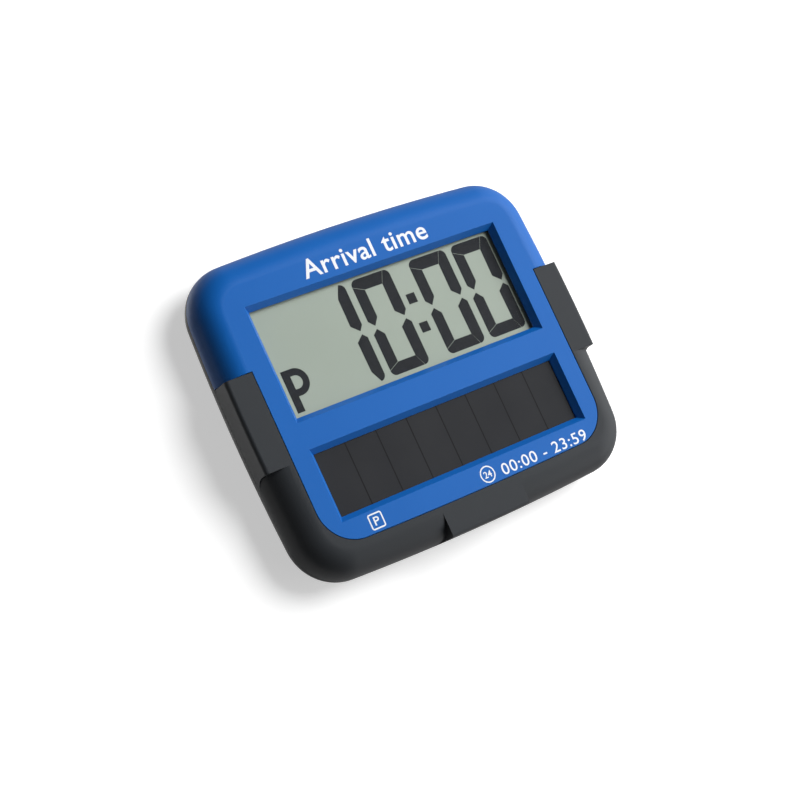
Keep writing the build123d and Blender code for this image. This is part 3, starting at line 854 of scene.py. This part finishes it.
aluminium = plain("can_aluminium", (0.60, 0.61, 0.62), (0.75, 0.76, 0.77), 0.28, 1.0)
sides = ("left", "middle", "right")
finishes = {
    steel: ["case_screws", "pcb_screws"],
    brass: ["negative_contacts", "positive_contact"],
    cell_steel: ["coin_cell_left", "coin_cell_right"],
    laminate: ["main_pcb"],
    epoxy: ["microcontroller", "motion_sensor", "chip_resistors"]
    + [f"switch_case_{side}" for side in sides],
    rubber: ["zebra_strip"],
    white: ["lcd_carrier"] + [f"switch_plunger_{side}" for side in sides],
    foam: ["solar_foam"],
    ribbon: ["solar_ribbon"],
    aluminium: ["storage_capacitor", "quartz_crystal"],
}
for finish, names in finishes.items():
    for name in names:
        nodes[name].data.materials[0] = finish

# Studio, in metres. The disc lies on a plain white surface, which stands upright just behind the
# disc's back and is clear from behind. A round soft light shines from the right and a weak one from
# behind, and the pale surroundings are brightest at the right and at the back.
surface_depth, surface_half_width, surface_shift = 0.0142, 3.0, 0.7
key_travel, key_distance = Vector((-0.62, 0.69, -0.18)).normalized(), 0.9
back_travel = Vector((0.1, -0.9, -0.42))
bm = bmesh.new()
bmesh.ops.create_grid(bm, x_segments=1, y_segments=1, size=surface_half_width)
bmesh.ops.rotate(bm, matrix=Matrix.Rotation(math.pi / 2, 3, "X"), verts=bm.verts)
bmesh.ops.translate(bm, vec=(surface_shift, surface_depth, 0), verts=bm.verts)
surface = workpiece(bm, "white_surface")
paper = Finish("white_paper")


def light_path(ray):
    return paper.node("ShaderNodeLightPath", output=ray)


paper_white = paper.principled(
    Base_Color=0.2 + 0.5 * light_path("Is Camera Ray"),
    Roughness=0.9,
    Specular_IOR_Level=0.0,
    Emission_Color=(1, 1, 1, 1),
    Emission_Strength=0.5 * light_path("Is Camera Ray") + 0.24 * light_path("Is Glossy Ray"),
)
behind = paper.node("ShaderNodeNewGeometry", output="Backfacing")
see_through = paper.math("MAXIMUM", behind, light_path("Is Shadow Ray"))
nothing = paper.node("ShaderNodeBsdfTransparent")
surface_mix = paper.node("ShaderNodeMixShader", values={0: see_through, 1: paper_white, 2: nothing})
surface.data.materials.append(paper.done(surface_mix))

key_lamp = bpy.data.lights.new("key_light", "AREA")
key_lamp.shape, key_lamp.size, key_lamp.energy = "DISK", 0.8, 12.6
key_light = bpy.data.objects.new("key_light", key_lamp)
bpy.context.scene.collection.objects.link(key_light)
key_light.visible_glossy = False
key_light.location = -key_distance * key_travel
key_light.rotation_euler = key_travel.to_track_quat("-Z", "Y").to_euler()

back_sun = bpy.data.lights.new("back_light", "SUN")
back_sun.energy, back_sun.angle = 1.6, 0.6
back_light = bpy.data.objects.new("back_light", back_sun)
bpy.context.scene.collection.objects.link(back_light)
back_light.rotation_euler = back_travel.to_track_quat("-Z", "Y").to_euler()

world = bpy.data.worlds.new("studio")
bpy.context.scene.world = world
world.use_nodes = True
sky = world.node_tree


def fade(start, end, low, high):
    """A node that fades smoothly from low to high while its value goes from start to end."""
    made = sky.nodes.new("ShaderNodeMapRange")
    made.interpolation_type = "SMOOTHSTEP"
    levels = {"From Min": start, "From Max": end, "To Min": low, "To Max": high}
    for name, level in levels.items():
        made.inputs[name].default_value = level
    return made


toward = sky.nodes.new("ShaderNodeTexCoord")
facing = sky.nodes.new("ShaderNodeVectorMath")
facing.operation = "DOT_PRODUCT"
facing.inputs[1].default_value = Vector((0.95, 0.0, -0.15)).normalized()
rear = sky.nodes.new("ShaderNodeSeparateXYZ")
right_glow, rear_glow = fade(0.3, 0.85, 0.05, 1.1), fade(0.0, 0.6, 0.0, 0.75)
brighter = sky.nodes.new("ShaderNodeMath")
brighter.operation = "MAXIMUM"
for start, end in (
    (toward.outputs["Generated"], facing.inputs[0]),
    (toward.outputs["Generated"], rear.inputs[0]),
    (facing.outputs["Value"], right_glow.inputs["Value"]),
    (rear.outputs["Y"], rear_glow.inputs["Value"]),
    (right_glow.outputs["Result"], brighter.inputs[0]),
    (rear_glow.outputs["Result"], brighter.inputs[1]),
    (brighter.outputs["Value"], sky.nodes["Background"].inputs["Strength"]),
):
    sky.links.new(start, end)
sky.nodes["Background"].inputs["Color"].default_value = (1, 1, 1, 1)
bpy.context.scene.view_settings.view_transform = "Standard"

# Camera. A long lens in front of the disc, to its left and a little below it, rolled so that the
# figures climb to the right.
view = bpy.data.cameras.new("view")
view.lens, view.sensor_width = 82.46, 36.0
camera = bpy.data.objects.new("view", view)
bpy.context.scene.collection.objects.link(camera)
camera_place = (-0.23435, -0.385, -0.04989)
right = Vector((0.805, -0.4222, -0.4168)).normalized()
forward = Vector((0.5016, 0.8596, 0.098)).normalized()
up = right.cross(forward).normalized()
right = forward.cross(up)
turn = Matrix((right, up, -forward)).transposed()
camera.matrix_world = Matrix.Translation(camera_place) @ turn.to_4x4()
bpy.context.scene.camera = camera
